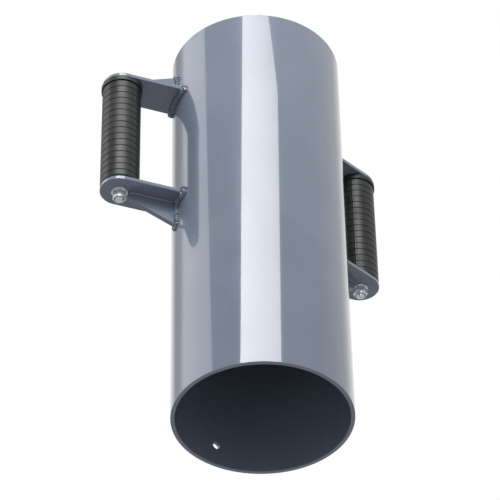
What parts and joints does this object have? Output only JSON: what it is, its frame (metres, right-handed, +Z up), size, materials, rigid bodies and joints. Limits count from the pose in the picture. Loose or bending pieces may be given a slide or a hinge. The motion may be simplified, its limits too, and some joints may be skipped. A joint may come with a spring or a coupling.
{
  "type": "post driver",
  "caption": "Hand post driver: a steel tube closed at its upper end by a strike plate, with side handles whose ribbed grips turn on bolted spacer tubes.",
  "frame": {"origin": "centre of the open mouth, in the plane of the tube's lower end", "axes": "+Z up the tube's axis to the closed end; +Y through the hanging hole, in the plane of symmetry between the handles; +X to the right handle"},
  "size_m": [0.3166, 0.1684, 0.44],
  "materials": {
    "painted_steel": "gloss blue-grey paint",
    "zinc_steel": "bright zinc plating",
    "grip_rubber": "satin moulded black rubber",
    "nylon": "plain nylon"
  },
  "bodies": {
    "driver": {"driver_tube": "painted_steel", "strike_plate": "painted_steel", "strike_plate_weld": "painted_steel", "left_upper_arm": "painted_steel", "left_lower_arm": "painted_steel", "left_upper_gusset": "painted_steel", "left_lower_gusset": "painted_steel", "left_upper_weld": "painted_steel", "left_lower_weld": "painted_steel", "left_spacer_tube": "zinc_steel", "left_bolt": "zinc_steel", "left_nut": "zinc_steel", "left_nut_insert": "nylon", "left_head_washer": "zinc_steel", "left_nut_washer": "zinc_steel", "right_upper_arm": "painted_steel", "right_lower_arm": "painted_steel", "right_upper_gusset": "painted_steel", "right_lower_gusset": "painted_steel", "right_upper_weld": "painted_steel", "right_lower_weld": "painted_steel", "right_spacer_tube": "zinc_steel", "right_bolt": "zinc_steel", "right_nut": "zinc_steel", "right_nut_insert": "nylon", "right_head_washer": "zinc_steel", "right_nut_washer": "zinc_steel"},
    "left_grip": {"left_grip": "grip_rubber"},
    "right_grip": {"right_grip": "grip_rubber"}
  },
  "joints": [
    {"name": "left_grip_spin", "type": "hinge", "parent": "driver", "child": "left_grip", "pos_m": [-0.13807, 0.02935, 0.3], "axis": [0, 0, 1], "continuous": true},
    {"name": "right_grip_spin", "type": "hinge", "parent": "driver", "child": "right_grip", "pos_m": [0.13807, 0.02935, 0.3], "axis": [0, 0, 1], "continuous": true}
  ]
}
